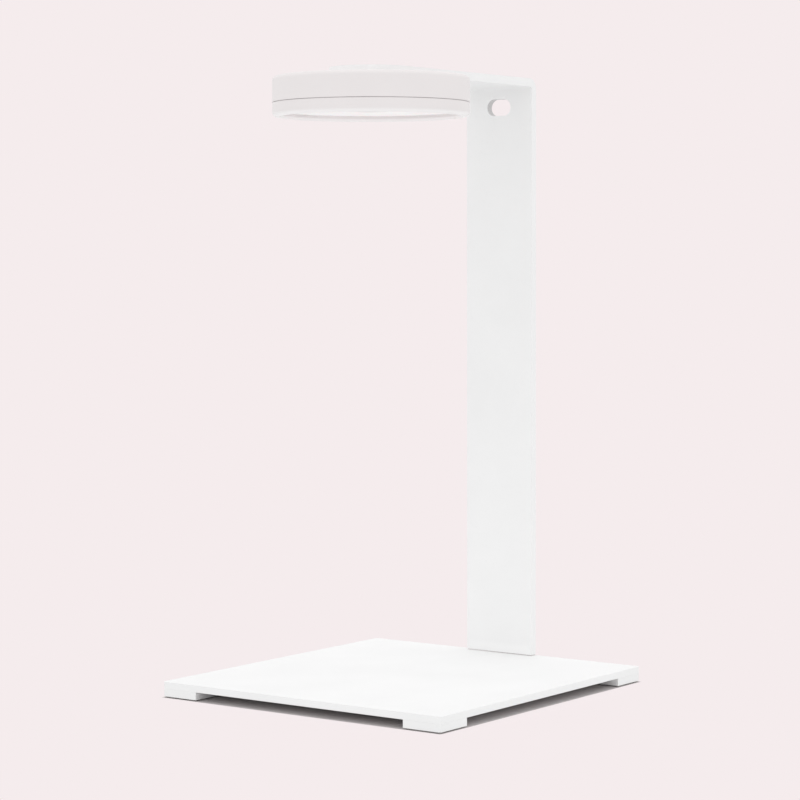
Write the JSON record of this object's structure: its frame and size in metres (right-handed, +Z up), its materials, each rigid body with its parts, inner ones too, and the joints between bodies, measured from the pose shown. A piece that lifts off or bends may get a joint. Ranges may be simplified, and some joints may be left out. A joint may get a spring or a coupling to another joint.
{
  "type": "book scanner",
  "caption": "Overhead book scanner: flat base on corner feet, a bent plate column and arm with a cable hole, and a round head with lamp and focusing camera.",
  "frame": {"origin": "on the floor at the middle of the base plate", "axes": "+Z up, the front of the scanner faces -Y, the column stands at the back edge on +Y, +X to the right seen from the front"},
  "size_m": [0.3, 0.315, 0.552],
  "materials": {
    "white_paint": "fine satin powder coat",
    "white_plastic": "matt moulded",
    "head_plastic": "fine matt spark texture",
    "pad_rubber": "matt pale rubber",
    "dark_rubber": "matt",
    "seal_rubber": "matt",
    "steel": "zinc plated",
    "diffuser_plastic": "frosted",
    "board_white": "white solder mask",
    "board_green": "green solder mask",
    "led": "clear over yellow phosphor",
    "wire": "smooth insulation",
    "window_glass": "polished",
    "lens_glass": "coated and polished",
    "chip_black": "moulded epoxy",
    "magnet": "nickel plated",
    "black_plastic": "matt",
    "copper": "enamelled copper wire",
    "spreader_aluminium": "milled",
    "flex_film": "amber film"
  },
  "bodies": {
    "frame": {"base_plate": "white_paint", "foot_front_left": "white_plastic", "foot_front_right": "white_plastic", "foot_rear_left": "white_plastic", "foot_rear_right": "white_plastic", "pad_front_left": "pad_rubber", "pad_front_right": "pad_rubber", "pad_rear_left": "pad_rubber", "pad_rear_right": "pad_rubber", "foot_screws": "steel", "stand": "white_paint", "column_gasket": "dark_rubber", "column_screws": "steel", "column_dowels": "steel", "head_upper_housing": "head_plastic", "head_seam_gasket": "dark_rubber", "head_lower_ring": "head_plastic", "lower_ring_screws": "steel", "head_mount_plate": "steel", "head_mount_screws": "steel", "light_diffuser": "diffuser_plastic", "diffuser_seal": "seal_rubber", "led_board": "board_white", "leds": "led", "led_board_screws": "steel", "led_leads": "wire", "camera_bezel": "head_plastic", "camera_window": "window_glass", "camera_board": "board_green", "camera_board_screws": "steel", "image_sensor": "chip_black", "focus_yoke": "steel", "focus_magnets": "magnet", "focus_guide_pins": "steel", "main_board": "board_green", "main_board_screws": "steel", "processor": "chip_black", "memory_chips": "chip_black", "power_parts": "chip_black", "heat_spreader": "spreader_aluminium", "usb_socket": "steel", "usb_tongue": "black_plastic", "camera_flex": "flex_film", "flex_connectors": "black_plastic", "button_switch": "black_plastic"},
    "focus_carriage": {"lens_carrier": "black_plastic", "focus_coil": "copper", "lens_barrel": "black_plastic", "front_lens": "lens_glass", "rear_lens": "lens_glass"},
    "button": {"button_cap": "head_plastic", "switch_plunger": "black_plastic"}
  },
  "joints": [
    {"name": "focus_slide", "type": "slide", "parent": "frame", "child": "focus_carriage", "axis": [0, 0, -1], "range_m": [0, 0.0003], "stiffness_N_per_m": 600},
    {"name": "button_press", "type": "slide", "parent": "frame", "child": "button", "axis": [0, 0, -1], "range_m": [0, 0.0005], "stiffness_N_per_m": 1200}
  ]
}
